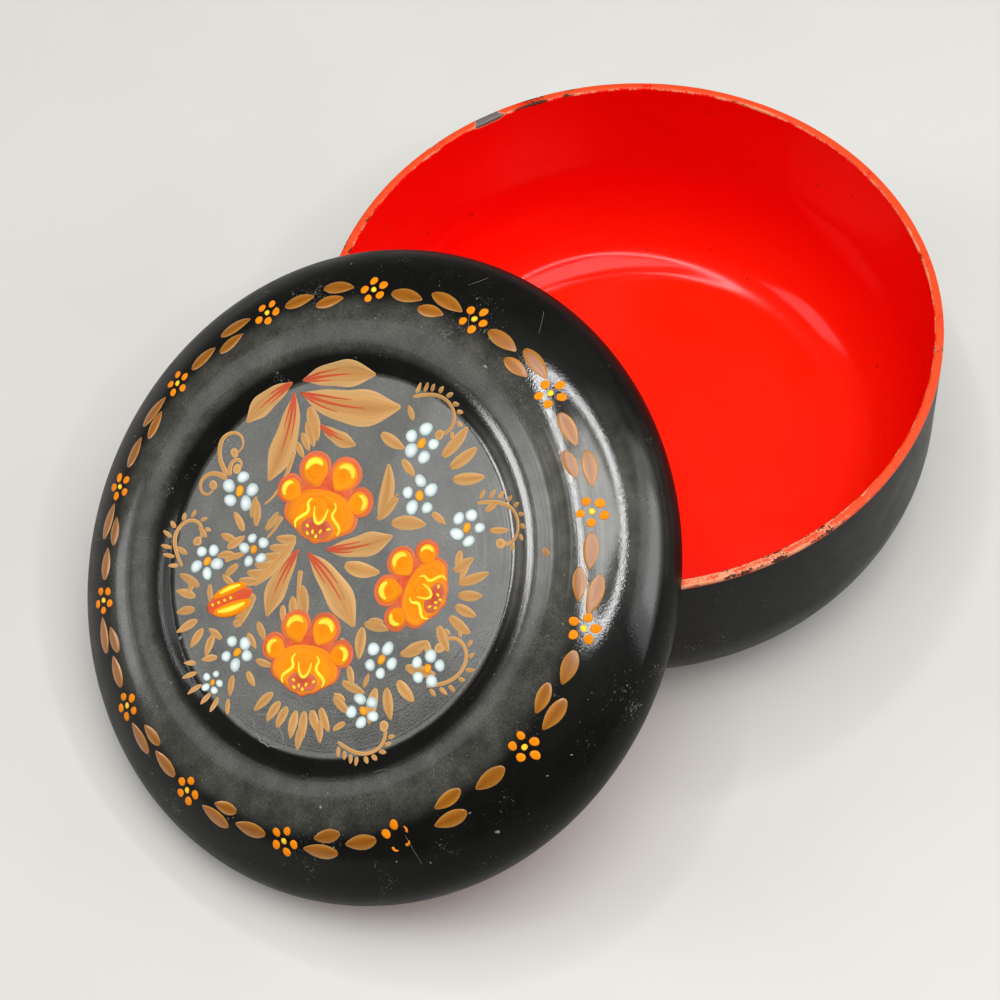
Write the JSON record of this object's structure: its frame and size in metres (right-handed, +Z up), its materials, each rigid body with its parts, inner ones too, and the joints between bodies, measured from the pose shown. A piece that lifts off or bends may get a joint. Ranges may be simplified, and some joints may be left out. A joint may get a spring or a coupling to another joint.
{
  "type": "metal trinket box",
  "caption": "Round lacquered metal trinket box, black outside and red inside, with a domed lift-off lid that leans open against the bowl; keeps small things.",
  "frame": {"origin": "centre of the bowl's flat base, on the table", "axes": "+Z up along the bowl's axis, -X towards the leaning lid, +Y by the right hand"},
  "size_m": [0.1598, 0.1082, 0.0605],
  "materials": {
    "black_lacquer": "satin black lacquer on steel, scuffed and hazy, with painted flowers on the lid",
    "red_lacquer": "glossy red lacquer coat, worn along the rim"
  },
  "bodies": {
    "bowl": {"bowl_shell": "black_lacquer", "bowl_lining": "red_lacquer"},
    "lid": {"lid_shell": "black_lacquer", "lid_lining": "red_lacquer"}
  },
  "joints": [
    {"name": "lid_lift", "type": "slide", "parent": "bowl", "child": "lid", "axis": [0, 0, 1], "range_m": [0, 0.08]}
  ]
}
